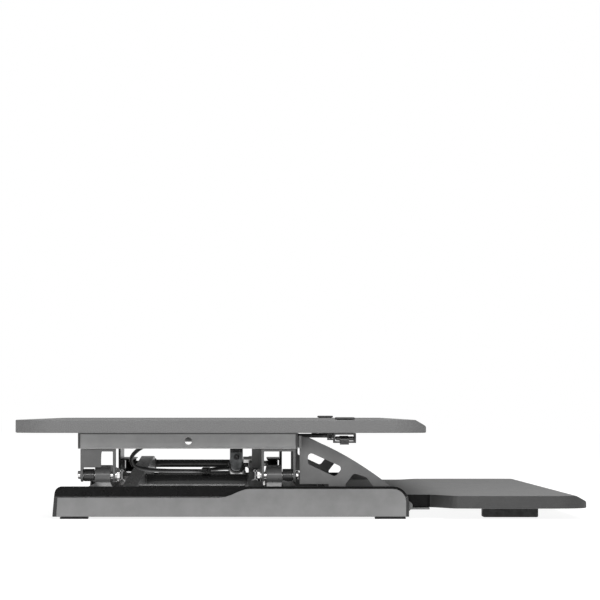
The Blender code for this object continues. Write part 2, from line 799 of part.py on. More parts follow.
def rail(name, sign):
    """A channel that opens towards the middle, with a plate across each end."""
    channel = side_box(name, sign, RAIL_X, RAIL_Y, RAIL_Z)
    hollow = side_box(
        name + "_hollow", sign, (RAIL_X[0] - 0.005, RAIL_X[1] - RAIL_WALL),
        (RAIL_Y[0] + RAIL_WALL, RAIL_Y[1] - RAIL_WALL),
        (RAIL_Z[0] + RAIL_WALL, RAIL_Z[1] - RAIL_WALL),
    )
    low, high = across(sign, RAIL_X[1] - 0.006, RAIL_X[1] + 0.002)
    hole = cylinder(
        name + "_hole", (low, RAIL_HOLE_Y, RAIL_HOLE_Z), (high, RAIL_HOLE_Y, RAIL_HOLE_Z),
        RAIL_HOLE_RADIUS,
    )
    cut(channel, hollow, hole)
    place(channel, "platform", "powder_coat")


def clevis(name, inner_y, outer_y, skirt_y=None):
    """Two ears under the left rail, either side of an outer arm, and a skirt behind the rear one."""
    low, high = PIVOT_X - CLEVIS_HALF_WIDTH, PIVOT_X + CLEVIS_HALF_WIDTH
    top = RAIL_Z[0] - GAP
    ear_outline = rounded([
        (low, top, 0), (low, CLEVIS_BOTTOM, 0.0075), (high, CLEVIS_BOTTOM, 0.0075), (high, top, 0),
    ])
    bore = circle(PIVOT_X, HIGH_PIVOT_Z, PIN_RADIUS + RUNNING_GAP)
    ears = []
    for part, y in (("inner", inner_y), ("outer", outer_y)):
        ears.append(plate(f"{name}_{part}_ear", [ear_outline, bore], "Y", min(y), max(y)))
    span = sorted((*inner_y, *outer_y))
    crown = box(name, (low, span[0], top - 0.003), (high, span[-1], top))
    join(crown, *ears)
    if skirt_y:
        skirt = plate(name + "_skirt", [[
            (skirt_y[0] - 0.0012, top - 0.001), (skirt_y[0] - 0.0002, 0.0755),
            (skirt_y[0], 0.0690), (skirt_y[0], 0.0600), (skirt_y[1], 0.0600),
            (skirt_y[1], top - 0.001),
        ]], "X", low, low + 0.003)
        join(crown, skirt)
    place(crown, "platform", "powder_coat")


def pivot_bush(name, start, length):
    """A spacer on a clevis pin, from start along Y."""
    inner = PIN_RADIUS + RUNNING_GAP
    rim = BUSH_RADIUS - 0.0007
    bush = turned(name, [
        (inner, length), (rim, length), (BUSH_RADIUS, length - 0.0007), (BUSH_RADIUS, 0.0007),
        (rim, 0.0), (inner, 0.0),
    ], (PIVOT_X, start, HIGH_PIVOT_Z), (0, 1, 0), closed=True)
    place(bush, "platform", "powder_coat")


def upper_guide(name, y, web_y, open_sign):
    """A channel hung under the right side of the desktop, in which an upper glide slides."""
    low, high = GUIDE_X
    bottom, top = GUIDE_Z
    under = BOARD_BOTTOM - GAP
    channel = box(name, (low, y[0], bottom), (high, y[1], top))
    open_to = (y[0] - 0.001, web_y[0]) if open_sign < 0 else (web_y[1], y[1] + 0.001)
    groove = box(
        name + "_groove",
        (low - 0.01, open_to[0], bottom + 0.002), (high + 0.01, open_to[1], top - 0.002),
    )
    cut(channel, groove)
    web = box(name + "_web", (low, web_y[0], bottom + 0.001), (GUIDE_WEB_END, web_y[1], under))
    flange = box(name + "_flange", (low, y[0], under - 0.003), (GUIDE_WEB_END, y[1], under))
    join(channel, web, flange)
    place(channel, "platform", "powder_coat")


def handle_housing(name, sign):
    """A bezel on the desktop, its neck through the board, and the lever's cage underneath."""
    y0, y1 = HANDLE_Y
    under = BOARD_BOTTOM - GAP
    wall = HANDLE_WALL
    wall_z = (HANDLE_BOTTOM, under - 0.001)
    cap = side_box(name, sign, (0.438, 0.472), (-0.0590, -0.0370), (BOARD_TOP + GAP, 0.119))
    soften(cap, 0.0008)
    dish = cylinder(
        name + "_dish", (sign * 0.4665, -0.048, 0.1112), (sign * 0.4765, -0.048, 0.1112), 0.0062
    )
    cut(cap, dish)
    neck = side_box(name + "_neck", sign, HANDLE_NECK_X, (-0.0570, -0.0390), (0.0995, 0.1170))
    roof = side_box(name + "_roof", sign, HANDLE_X, (y0, y1), (under - wall, under))
    wall_front = side_box(name + "_wall_front", sign, HANDLE_X, (y0, y0 + wall), wall_z)
    wall_back = side_box(name + "_wall_back", sign, HANDLE_X, (y1 - wall, y1), wall_z)
    sill_z = (HANDLE_BOTTOM, HANDLE_BOTTOM + wall)
    sill_front = side_box(name + "_sill_front", sign, HANDLE_X, (y0 + 0.001, -0.0530), sill_z)
    sill_back = side_box(name + "_sill_back", sign, HANDLE_X, (-0.0416, y1 - 0.001), sill_z)
    anchor = side_box(name + "_anchor", sign, ANCHOR_X, (y1 - 0.001, -0.0282), (0.0926, 0.0942))
    hanger = side_box(name + "_hanger", sign, ANCHOR_X, (-0.0298, -0.0280), (0.0926, under))
    strap = side_box(
        name + "_strap", sign, ANCHOR_X, (y1 - 0.001, -0.0285), (under - wall, under)
    )
    axle = cylinder(
        name + "_axle", (sign * LEVER_PIVOT_X, y0 + 0.001, LEVER_PIVOT_Z),
        (sign * LEVER_PIVOT_X, y1 - 0.001, LEVER_PIVOT_Z), LEVER_AXLE_RADIUS, 16
    )
    join(
        cap, neck, roof, wall_front, wall_back, sill_front, sill_back, anchor, hanger, strap, axle
    )
    place(cap, "platform", "black_plastic")


def release_lever(name, sign, group):
    """A squeeze lever with a rounded thumb, hinged at the housing's inner end."""
    thumb = plate(name, [
        rounded([
            (sign * 0.4375, 0.0918, 0.002), (sign * 0.4375, 0.0978, 0.002),
            (sign * 0.470, 0.0955, 0.003), (sign * 0.473, 0.0900, 0.003),
            (sign * 0.468, 0.0876, 0.003), (sign * 0.458, 0.0876, 0.004),
        ], 3),
        circle(sign * LEVER_PIVOT_X, LEVER_PIVOT_Z, LEVER_AXLE_RADIUS + RUNNING_GAP, 16),
    ], "Y", -0.0523, -0.0423)
    paddle = plate(name + "_paddle", [[
        (sign * 0.4445, 0.0925), (sign * 0.4445, 0.0970),
        (sign * 0.468, 0.0955), (sign * 0.468, 0.0922),
    ]], "Y", -0.0580, -0.0380)
    join(thumb, paddle)
    place(thumb, group, "black_plastic")


# Assembly

def build_base():
    for side, sign in SIDES:
        base_side("base_side_" + side, sign)
        side_trim("side_trim_" + side, sign)
        foot_pad("rubber_foot_rear_" + side, sign, (0.250, 0.283))
        foot_pad("rubber_foot_front_" + side, sign, (-0.121, -0.085))
    track("rear_track", (0.2463, 0.262), -1)
    track("front_track", (0.004, 0.0197), 1)
    pivot_bracket("lower_bracket_rear", (0.2173, 0.2203), (0.2185, 0.236))
    pivot_bracket("lower_bracket_front", (0.0397, 0.0427), (0.024, 0.0415))


def build_inner_arms():
    low = (PIVOT_X, LOW_PIVOT_Z)
    high = (FAR_X, HIGH_PIVOT_Z)
    mid_hole = [(MID_X, MID_Z, MID_PIN_RADIUS)]
    between = (INNER_ARM_Y[0] + ARM_THICK + GAP, INNER_ARM_Y[1] - GAP)
    for part, y in zip(("front", "rear"), INNER_ARM_Y):
        arm("inner_arm_" + part, "inner", low, high, y, mid_hole)
    cross_tube("upper_cross_tube", "inner", *high, TOP_TUBE_RADIUS, between)
    cross_tube("lower_cross_tube", "inner", *low, GLIDE_TUBE_RADIUS, between)
    rear = INNER_ARM_Y[1] + ARM_THICK + GAP
    front = INNER_ARM_Y[0] - GAP
    pin("lower_pin_rear", "inner", low, PIN_RADIUS, (rear, 0.2208), LOWER_PIN_HEAD)
    pin("lower_pin_front", "inner", low, PIN_RADIUS, (front, 0.0392), LOWER_PIN_HEAD)
    pin("upper_glide_pin_rear", "inner", high, PIN_RADIUS, (rear, 0.2375))
    pin("upper_glide_pin_front", "inner", high, PIN_RADIUS, (front, 0.0225))
    spring_bracket()


def build_outer_arms():
    high = (PIVOT_X, HIGH_PIVOT_Z)
    low = (FAR_X, LOW_PIVOT_Z)
    mid = (MID_X, MID_Z)
    holes = [(*high, PIN_RADIUS), (*mid, MID_PIN_RADIUS)]
    for part, y in zip(("front", "rear"), OUTER_ARM_Y):
        arm("outer_arm_" + part, "outer", high, low, y, holes)
    tube_ends = (OUTER_ARM_Y[0] + ARM_THICK + GAP, OUTER_ARM_Y[1] - GAP)
    mid_ends = (INNER_ARM_Y[0] + ARM_THICK + GAP, INNER_ARM_Y[1] - GAP)
    cross_tube("glide_cross_tube", "outer", *low, GLIDE_TUBE_RADIUS, tube_ends)
    cross_tube("mid_cross_tube", "outer", *mid, MID_TUBE_RADIUS, mid_ends)
    rear = OUTER_ARM_Y[1] + ARM_THICK + GAP
    front = OUTER_ARM_Y[0] - GAP
    mid_rear = (mid_ends[1] + 0.0005, rear)
    mid_front = (mid_ends[0] - 0.0005, front)
    pin("mid_bolt_rear", "outer", mid, MID_PIN_RADIUS, mid_rear, MID_BOLT_HEAD)
    pin("mid_bolt_front", "outer", mid, MID_PIN_RADIUS, mid_front, MID_BOLT_HEAD)
    pin("lower_glide_pin_rear", "outer", low, PIN_RADIUS, (rear, 0.2575))
    pin("lower_glide_pin_front", "outer", low, PIN_RADIUS, (front, 0.0085))
    cable_clip()


def build_platform():
    desktop()
    keyboard_tray()
    for side, sign in SIDES:
        rail("rail_" + side, sign)
        tray_bracket("tray_bracket_" + side, sign)
        tray_foot("tray_foot_" + side, sign)
        handle_housing("handle_housing_" + side, sign)
        release_lever("release_lever_" + side, sign, "lever_" + side)
    clevis("upper_clevis_rear", (0.2185, 0.2215), (0.2564, 0.2594), (0.2352, 0.2575))
    clevis("upper_clevis_front", (0.0445, 0.0475), (0.0075, 0.0105))
    upper_guide("upper_guide_rear", (0.2223, 0.243), (0.240, 0.243), -1)
    upper_guide("upper_guide_front", (0.017, 0.0377), (0.017, 0.020), 1)
    high = (PIVOT_X, HIGH_PIVOT_Z)
    pin("upper_pin_rear", "platform", high, PIN_RADIUS, (0.2130, 0.2597), UPPER_PIN_HEAD)
    pin("upper_pin_front", "platform", high, PIN_RADIUS, (0.0530, 0.0072), UPPER_PIN_HEAD)
    pivot_bush("pivot_bush_rear", 0.2430, 0.0130)
    pivot_bush("pivot_bush_front", 0.0110, 0.0120)


def build_glides_and_spring():
    upper = ("upper_glides", HIGH_PIVOT_Z, UPPER_GLIDE_HALF)
    lower = ("lower_glides", LOW_PIVOT_Z, LOWER_GLIDE_HALF)
    glide("upper_glide_rear", *upper, (0.224, 0.2385))
    glide("upper_glide_front", *upper, (0.0215, 0.036))
    glide("lower_glide_rear", *lower, (0.2468, 0.2585))
    glide("lower_glide_front", *lower, (0.0075, 0.0192))
    gas_spring()
    release_head()


def build_cables():
    place(cable("release_cable_drop", CABLE_DROP, 60), "platform", "black_plastic")
    place(cable("release_cable_head", CABLE_HEAD, 9), "outer", "black_plastic")


build_base()
build_inner_arms()
build_outer_arms()
build_platform()
build_glides_and_spring()
build_cables()
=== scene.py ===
"""Looks of a two-tier standing desk converter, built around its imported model.

Everything is in metres in the model's own frame: the user stands at -Y, +Z is up, and the scissor
lift's fixed pivots are at -X.
"""

import json
import math

import bmesh
import bpy
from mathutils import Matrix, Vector


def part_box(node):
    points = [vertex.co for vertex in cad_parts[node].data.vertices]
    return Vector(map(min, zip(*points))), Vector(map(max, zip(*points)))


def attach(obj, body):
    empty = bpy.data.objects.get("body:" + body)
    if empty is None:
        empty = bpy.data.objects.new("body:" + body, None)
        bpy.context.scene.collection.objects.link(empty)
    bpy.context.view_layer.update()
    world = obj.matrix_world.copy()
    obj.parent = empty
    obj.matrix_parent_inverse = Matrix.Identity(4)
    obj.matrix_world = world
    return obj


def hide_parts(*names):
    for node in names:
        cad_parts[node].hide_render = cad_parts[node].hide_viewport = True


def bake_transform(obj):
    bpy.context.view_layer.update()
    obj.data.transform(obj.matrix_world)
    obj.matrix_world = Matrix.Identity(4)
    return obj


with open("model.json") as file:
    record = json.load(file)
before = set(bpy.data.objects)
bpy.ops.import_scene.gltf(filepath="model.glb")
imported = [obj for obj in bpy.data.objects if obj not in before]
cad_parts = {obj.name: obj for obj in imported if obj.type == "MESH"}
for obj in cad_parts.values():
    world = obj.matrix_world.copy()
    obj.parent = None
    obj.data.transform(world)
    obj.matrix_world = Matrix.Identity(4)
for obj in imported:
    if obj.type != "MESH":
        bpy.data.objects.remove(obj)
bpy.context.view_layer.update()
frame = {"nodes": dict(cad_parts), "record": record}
BODIES = frame["record"]["behaviour"]["bodies"]
BODY_OF = {node: body for body, nodes in BODIES.items() for node in nodes}

SIDES = (("left", -1), ("right", 1))  # with the sign of X
ENDS = ("rear", "front")
CROSS_TUBES = ("upper_cross_tube", "lower_cross_tube", "mid_cross_tube", "glide_cross_tube")

# Edges sharper than these stay sharp in the shading
PLAIN_SHARP = math.radians(32)
TURNED_SHARP = math.radians(28)
ROUNDED_SHARP = math.radians(50)

FLAT_ANGLE = math.radians(0.6)  # faces closer than this are made one
MERGE_DISTANCE = 0.000004
TURNED_MERGE = 0.000002
ROUND_SHARE = 0.45  # most of a side that a profile's round takes
ROUND_STEPS = 3
COAT_ROUGHNESS = 0.12
NOISE_SPAN = (0.3, 0.7)  # where a noise texture does most of its varying
EDGE_SPAN = (0.52, 0.62)  # pointiness at which an edge starts to show wear, and is fully worn
EDGE_WEAR = 0.35

# Camera, light and floor
CAMERA_PLACE = (-3.88, 0.0598, 0.1273)
CAMERA_LENS = 178.8
CAMERA_SHIFT = (0.0817, 0.1833)
AMBIENT = 0.42
LIGHTS = (  # name, place, what it points at, size, power in W
    ("key", (-1.6, 0.1, 2.6), (0, 0, 0.05), (2.2, 1.8), 72),
    ("side_fill", (-3.4, 0.1, 0.75), (0, 0.05, 0.06), (1.6, 0.5), 24),
    ("front_fill", (-0.6, -2.6, 1.2), (0, 0, 0.05), (2.0, 1.2), 3),
    ("back_fill", (0.8, 2.8, 1.4), (0, 0, 0.05), (2.0, 1.2), 1),
)
FLOOR_REACH = 14
FLOOR_THICKNESS = 0.02
FLOOR_GLOW = 0.86  # keeps the floor white

# Strip along the crest of the base sides' covers, painted lighter as a painted highlight
HIGHLIGHT_X = (0.3700, 0.3897)  # to either side
HIGHLIGHT_Y = (0.066, 0.192)
HIGHLIGHT_LOW = 0.0396

# Boards
BOARD_EASE = 0.0012
FACE_NORMAL = 0.75  # a face is part of the board's top or bottom above this
TRAY_SHADE_FROM = -0.150  # the tray's edge is painted darker behind this Y, as painted shade on its rear

# Gas spring
SPRING_EYE = Vector((0.384, 0.079, 0.020))
SPRING_HEAD = Vector((0.045, 0.079, 0.062))
BARREL_END = 0.274  # from the eye
BARREL_RADIUS = 0.0115
GROOVE_RADIUS = 0.0109
BORE_RADIUS = 0.0053
BORE_DEPTH = 0.070
ROD_RADIUS = 0.005
ROD_DEPTH = 0.064
HEAD_REACH = 0.0223  # from the rod's end to the pin
HUB_WIDTH = 0.016

# Release head
HEAD_FACE = 0.0359  # X of the face towards -X
HEAD_BOLT = (HEAD_FACE, 0.079, 0.0655)
CLAMP_THICKNESS = 0.0016

# Hardware
WELD_SIZE = 0.0016
WELD_SINK = 0.0002
PIN_X, PIN_Z = -0.384, 0.051  # outer arms' upper pins
PIN_BORE = 0.0042
WASHER_EASE = 0.0002
WASHER_FACES = (("rear", 0.2184, -1), ("front", 0.0476, 1))  # Y, and the way each one faces
BUSH_FACES = (("rear", 0.2560, 1), ("front", 0.0110, -1))
RAIL_FACE = 0.3962
TRAY_SCREW_X = 0.3570
TRAY_SCREWS_Y = (-0.125, -0.090, -0.050)
TRAY_SCREW_Z = 0.0105

# Cable's route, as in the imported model
CABLE_RADIUS = 0.0024
CABLE_DROP = [
    (-0.4367, -0.0320, 0.0965), (-0.4200, -0.0325, 0.0970), (-0.3950, -0.0320, 0.0970),
    (-0.3650, -0.0250, 0.0970), (-0.3380, -0.0020, 0.0968), (-0.3200, 0.0400, 0.0965),
    (-0.3080, 0.0900, 0.0960), (-0.2960, 0.1400, 0.0940), (-0.2840, 0.1740, 0.0890),
    (-0.2720, 0.1950, 0.0800), (-0.2640, 0.2050, 0.0690), (-0.2550, 0.2020, 0.0595),
    (-0.2360, 0.1850, 0.0545), (-0.2000, 0.1640, 0.0525), (-0.1400, 0.1420, 0.0510),
    (-0.0700, 0.1270, 0.0495), (-0.0300, 0.1200, 0.0486), (-0.0073, 0.1180, 0.0483),
]
CABLE_HEAD = [
    (0.0073, 0.1178, 0.0483), (0.0190, 0.1165, 0.0486), (0.0320, 0.1120, 0.0492),
    (0.0410, 0.1040, 0.0500), (0.0445, 0.0960, 0.0505), (0.0450, 0.0883, 0.0506),
]


# Materials

def shader(name, colour, roughness, metallic=0.0, specular=0.5, coat=0.0):
    """A new material and its tree, with the constants set on the shader's own sockets."""
    material = bpy.data.materials.new(name)
    material.use_nodes = True
    surface = material.node_tree.nodes["Principled BSDF"]
    surface.inputs["Base Color"].default_value = (*colour, 1.0)
    surface.inputs["Roughness"].default_value = roughness
    surface.inputs["Metallic"].default_value = metallic
    surface.inputs["Specular IOR Level"].default_value = specular
    if coat:
        surface.inputs["Coat Weight"].default_value = coat
        surface.inputs["Coat Roughness"].default_value = COAT_ROUGHNESS
    return material


def add_noise(material, scale, detail=3.0, roughness=0.55, stretch=(1, 1, 1)):
    """A noise texture in the model's own frame, stretched along an axis where asked."""
    nodes, links = material.node_tree.nodes, material.node_tree.links
    place = nodes.new("ShaderNodeTexCoord")
    mapping = nodes.new("ShaderNodeMapping")
    mapping.inputs["Scale"].default_value = stretch
    noise = nodes.new("ShaderNodeTexNoise")
    noise.inputs["Scale"].default_value = scale
    noise.inputs["Detail"].default_value = detail
    noise.inputs["Roughness"].default_value = roughness
    links.new(place.outputs["Object"], mapping.inputs["Vector"])
    links.new(mapping.outputs["Vector"], noise.inputs["Vector"])
    return noise.outputs["Fac"]


def vary_colour(material, factor, dark, light, low=0.35, high=0.65):
    """Colours the surface between two tones by a texture."""
    nodes, links = material.node_tree.nodes, material.node_tree.links
    ramp = nodes.new("ShaderNodeValToRGB")
    ramp.color_ramp.elements[0].position = low
    ramp.color_ramp.elements[0].color = (*dark, 1.0)
    ramp.color_ramp.elements[1].position = high
    ramp.color_ramp.elements[1].color = (*light, 1.0)
    links.new(factor, ramp.inputs["Fac"])
    links.new(ramp.outputs["Color"], nodes["Principled BSDF"].inputs["Base Color"])
    return ramp


def vary_roughness(material, factor, low, high):
    """Spreads the surface's roughness between two values by a texture."""
    nodes, links = material.node_tree.nodes, material.node_tree.links
    span = nodes.new("ShaderNodeMapRange")
    span.inputs["From Min"].default_value = NOISE_SPAN[0]
    span.inputs["From Max"].default_value = NOISE_SPAN[1]
    span.inputs["To Min"].default_value = low
    span.inputs["To Max"].default_value = high
    links.new(factor, span.inputs["Value"])
    links.new(span.outputs["Result"], nodes["Principled BSDF"].inputs["Roughness"])


def add_bump(material, factor, strength, distance):
    """Raises the surface by a texture, on top of any bump it has."""
    nodes, links = material.node_tree.nodes, material.node_tree.links
    bump = nodes.new("ShaderNodeBump")
    bump.inputs["Strength"].default_value = strength
    bump.inputs["Distance"].default_value = distance
    links.new(factor, bump.inputs["Height"])
    target = nodes["Principled BSDF"].inputs["Normal"]
    if target.links:
        links.new(target.links[0].from_socket, bump.inputs["Normal"])
    links.new(bump.outputs["Normal"], target)


def wear_edges(material, ramp, tone):
    """Lightens the edges a little, where a coat rubs thin."""
    nodes, links = material.node_tree.nodes, material.node_tree.links
    geometry = nodes.new("ShaderNodeNewGeometry")
    edge = nodes.new("ShaderNodeMapRange")
    edge.inputs["From Min"].default_value = EDGE_SPAN[0]
    edge.inputs["From Max"].default_value = EDGE_SPAN[1]
    edge.inputs["To Max"].default_value = EDGE_WEAR
    mix = nodes.new("ShaderNodeMix")
    mix.data_type = "RGBA"
    mix.inputs["B"].default_value = (*tone, 1.0)
    links.new(geometry.outputs["Pointiness"], edge.inputs["Value"])
    links.new(edge.outputs["Result"], mix.inputs["Factor"])
    links.new(ramp.outputs["Color"], mix.inputs["A"])
    links.new(mix.outputs["Result"], nodes["Principled BSDF"].inputs["Base Color"])


def grey(value, warm=0.0):
    """A grey, tinted a little towards red where warm is above zero and towards blue below it."""
    return (value * (1 + warm), value, value * (1 - warm * 0.5))


def make_laminate(name, tone, specular=0.5):
    """A pressed laminate: a fine stipple with faint light and dark specks."""
    material = shader(name, grey(tone), roughness=0.58, specular=specular)
    specks = add_noise(material, 900.0, 4.0, 0.7)
    vary_colour(material, specks, grey(tone * 0.78), grey(tone * 1.24), 0.36, 0.66)
    vary_roughness(material, add_noise(material, 60.0), 0.54, 0.64)
    add_bump(material, add_noise(material, 1300.0, 2.0), 0.35, 0.00012)
    return material


def make_powder_coat(name, tone, roughness):
    """A fine orange-peel powder coat, rubbed a little lighter along its edges."""
    material = shader(name, grey(tone), roughness)
    mottle = add_noise(material, 45.0, 4.0)
    ramp = vary_colour(material, mottle, grey(tone * 0.9), grey(tone * 1.1))
    wear_edges(material, ramp, grey(min(0.5, tone * 2.2)))
    vary_roughness(material, add_noise(material, 160.0), roughness - 0.05, roughness + 0.07)
    add_bump(material, add_noise(material, 1500.0, 2.0), 0.25, 0.0001)
    add_bump(material, add_noise(material, 420.0, 1.0), 0.10, 0.0001)
    return material


def make_plastic(name, tone, roughness=0.45):
    """A finely textured moulded plastic."""
    material = shader(name, grey(tone), roughness)
    vary_colour(material, add_noise(material, 80.0), grey(tone * 0.85), grey(tone * 1.2))
    vary_roughness(material, add_noise(material, 300.0), roughness - 0.06, roughness + 0.08)
    add_bump(material, add_noise(material, 2600.0, 2.0), 0.22, 0.00006)
    return material


def make_rubber(name, tone):
    """A dull, slightly grainy rubber."""
    material = shader(name, grey(tone), roughness=0.8, specular=0.3)
    vary_colour(material, add_noise(material, 220.0), grey(tone * 0.8), grey(tone * 1.35))
    add_bump(material, add_noise(material, 1800.0, 3.0), 0.4, 0.00012)
    return material


def make_metal(name, tone, roughness, warm, grain=(1, 1, 1), variation=0.16):
    """Bare or plated metal with fine marks that may run along one axis."""
    material = shader(name, grey(tone, warm), roughness, metallic=1.0)
    cloud = add_noise(material, 130.0, 4.0, 0.6, grain)
    dark = grey(tone * (1 - variation), warm)
    light = grey(min(1.0, tone * (1 + variation)), warm)
    vary_colour(material, cloud, dark, light)
    marks = add_noise(material, 420.0, 3.0, 0.6, grain)
    vary_roughness(material, marks, roughness - 0.07, roughness + 0.10)
    add_bump(material, add_noise(material, 1700.0, 2.0, 0.5, grain), 0.15, 0.00005)
    return material


TOP = make_laminate("laminate_face", 0.175)
EDGE = make_laminate("laminate_edge", 0.124)
TRAY_EDGE = make_laminate("tray_edge_band", 0.036)
# Near black: painted shade for the rear of the tray's edge
SHADED_TRAY_EDGE = make_laminate("tray_edge_painted_shade", 0.006, 0.12)
TRIM = make_powder_coat("side_trim_paint", 0.180, 0.46)
RAIL_PAINT = make_powder_coat("rail_paint", 0.250, 0.40)
RAIL_END_PAINT = make_powder_coat("rail_end_paint", 0.045, 0.38)
PLATE_PAINT = make_powder_coat("plate_paint", 0.135, 0.42)
CLEVIS_PAINT = make_powder_coat("clevis_paint", 0.080, 0.38)
# Lighter than the bracket's own paint: painted light that offsets the shade the desktop casts on
# it
BRACKET_PAINTED_LIGHT = make_powder_coat("bracket_paint_and_painted_light", 0.190, 0.40)
FRAME_PAINT = make_powder_coat("frame_paint", 0.009, 0.30)
# A light grey: painted highlight along the crest of the base sides' covers
CREST_HIGHLIGHT_PAINT = make_powder_coat("cover_crest_painted_highlight", 0.240, 0.34)
ARM_PAINT = make_powder_coat("arm_paint", 0.085, 0.30)
TUBE_PAINT = make_powder_coat("tube_paint", 0.030, 0.24)
PLASTIC = make_plastic("black_plastic", 0.022)
DARK_PLASTIC = make_plastic("dark_plastic", 0.014, 0.34)
SHEATH = make_plastic("cable_sheath", 0.012, 0.30)
RUBBER = make_rubber("foot_rubber", 0.032)
ZINC = make_metal("zinc_casting", 0.26, 0.42, -0.03, variation=0.35)
STEEL = make_metal("plated_steel", 0.72, 0.20, 0.01, grain=(1, 0.12, 1))
BLACK_STEEL = make_metal("black_oxide", 0.10, 0.34, 0.0, variation=0.25)
DULL_STEEL = make_metal("dull_steel", 0.34, 0.30, 0.0, variation=0.25)
WELD = make_powder_coat("painted_weld", 0.060, 0.36)
CHROME = make_metal("polished_rod", 0.86, 0.07, 0.0, grain=(0.1, 1, 1), variation=0.05)
SPRING_PAINT = shader("spring_gloss", grey(0.012), 0.2, coat=0.6)
vary_colour(SPRING_PAINT, add_noise(SPRING_PAINT, 60.0), grey(0.009), grey(0.016))
add_bump(SPRING_PAINT, add_noise(SPRING_PAINT, 500.0, 2.0), 0.05, 0.0001)


# Mesh tools

def body_piece(obj, body, material):
    """Rides a finished piece on a body, with its material."""
    obj.data.materials.append(material)
    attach(obj, body)
    return obj


def new_object(name, bm):
    """An object in the scene made of a mesh under construction, which ends here."""
    mesh = bpy.data.meshes.new(name)
    bm.to_mesh(mesh)
    bm.free()
    obj = bpy.data.objects.new(name, mesh)
    bpy.context.scene.collection.objects.link(obj)
    return obj


def shade(obj, angle):
    """Smooth shading, with edges above an angle kept sharp."""
    obj.data.shade_smooth()
    obj.data.set_sharp_from_angle(angle=angle)
    return obj


def shade_flats(obj):
    """Smooth shading that keeps the large faces flat, so a rounded edge doesn't darken them."""
    shade(obj, ROUNDED_SHARP)
    weighted = obj.modifiers.new("Flats", "WEIGHTED_NORMAL")
    weighted.keep_sharp = True
    weighted.weight = 80
    return apply_modifiers(obj)


def round_edges(obj, width, segments=2, angle=30):
    """Rounds the edges above an angle in degrees, and fixes the result in the mesh."""
    bevel = obj.modifiers.new("Round", "BEVEL")
    bevel.width = width
    bevel.segments = segments
    bevel.limit_method = "ANGLE"
    bevel.angle_limit = math.radians(angle)
    bevel.miter_outer = "MITER_ARC"
    return apply_modifiers(obj)


def apply_modifiers(obj):
    """Fixes the modifiers' result in the mesh."""
    bpy.context.view_layer.update()
    graph = bpy.context.evaluated_depsgraph_get()
    mesh = bpy.data.meshes.new_from_object(obj.evaluated_get(graph))
    obj.modifiers.clear()
    obj.data = mesh
    return obj


def refined(node, width, material, segments=2, angle=30):
    """A copy that stands for a node, with its flat faces made whole and its edges rounded."""
    bm = bmesh.new()
    bm.from_mesh(frame["nodes"][node].data)
    bmesh.ops.remove_doubles(bm, verts=bm.verts, dist=MERGE_DISTANCE)
    bmesh.ops.dissolve_limit(
        bm, angle_limit=FLAT_ANGLE, verts=bm.verts, edges=bm.edges, delimit={"NORMAL"}
    )
    obj = new_object(node + "_shell", bm)
    obj.data.materials.clear()
    round_edges(obj, width, segments, angle)
    shade_flats(obj)
    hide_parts(node)
    return body_piece(obj, BODY_OF[node], material)


def keep(node, material):
    """Gives a CAD node that stays in sight its material."""
    obj = frame["nodes"][node]
    obj.data.materials.clear()
    obj.data.materials.append(material)


def turn(name, profile, start, direction, steps=64):
    """A closed profile of (radius, distance) turned about the line from start along direction."""
    axis = Vector(direction).normalized()
    across = axis.orthogonal().normalized()
    bm = bmesh.new()
    loop = [
        bm.verts.new(Vector(start) + axis * along + across * radius) for radius, along in profile
    ]
    edges = [bm.edges.new((loop[i], loop[i + 1])) for i in range(len(loop) - 1)]
    if profile[0][0] > 0 and profile[-1][0] > 0:
        edges.append(bm.edges.new((loop[-1], loop[0])))
    bmesh.ops.spin(
        bm, geom=loop + edges, cent=start, axis=axis, angle=math.tau, steps=steps, use_merge=True
    )
    bmesh.ops.remove_doubles(bm, verts=bm.verts, dist=TURNED_MERGE)
    bmesh.ops.recalc_face_normals(bm, faces=bm.faces)
    return shade(new_object(name, bm), TURNED_SHARP)


def softened(points, radius):
    """A profile whose inner corners are each replaced by a small round."""
    result = [Vector(points[0])]
    for before, here, after in zip(points, points[1:], points[2:]):
        here = Vector(here)
        back = Vector(before) - here
        ahead = Vector(after) - here
        reach = min(radius, back.length * ROUND_SHARE, ahead.length * ROUND_SHARE)
        first = here + back.normalized() * reach
        last = here + ahead.normalized() * reach
        for step in range(ROUND_STEPS + 1):
            t = step / ROUND_STEPS
            result.append(first * (1 - t) ** 2 + here * 2 * t * (1 - t) + last * t * t)
    result.append(Vector(points[-1]))
    return [tuple(point) for point in result]


def prism(name, outline, axis, low, high):
    """A flat outline extruded along an axis: (X, Z) points along Y, and (X, Y) points along Z."""
    places = {
        "Y": lambda u, v, w: (u, w, v),
        "Z": lambda u, v, w: (u, v, w),
    }
    bm = bmesh.new()
    ends = [[bm.verts.new(places[axis](u, v, w)) for u, v in outline] for w in (low, high)]
    bm.faces.new(ends[0])
    bm.faces.new(reversed(ends[1]))
    count = len(outline)
    for i in range(count):
        j = (i + 1) % count
        bm.faces.new((ends[0][i], ends[1][i], ends[1][j], ends[0][j]))
    bmesh.ops.recalc_face_normals(bm, faces=bm.faces)
    return new_object(name, bm)


def box_outline(low, high):
    """The four corners of a rectangle."""
    return [(low[0], low[1]), (high[0], low[1]), (high[0], high[1]), (low[0], high[1])]


def block(name, low, high, width):
    """A block between two corners, its edges rounded to a width."""
    obj = prism(name, box_outline(low[:2], high[:2]), "Z", low[2], high[2])
    return shade_flats(round_edges(obj, width))


def merged(name, objects):
    """One mesh of several finished meshes in the model's frame."""
    bm = bmesh.new()
    for obj in objects:
        bm.from_mesh(obj.data)
        bpy.data.objects.remove(obj, do_unlink=True)
    return shade(new_object(name, bm), PLAIN_SHARP)


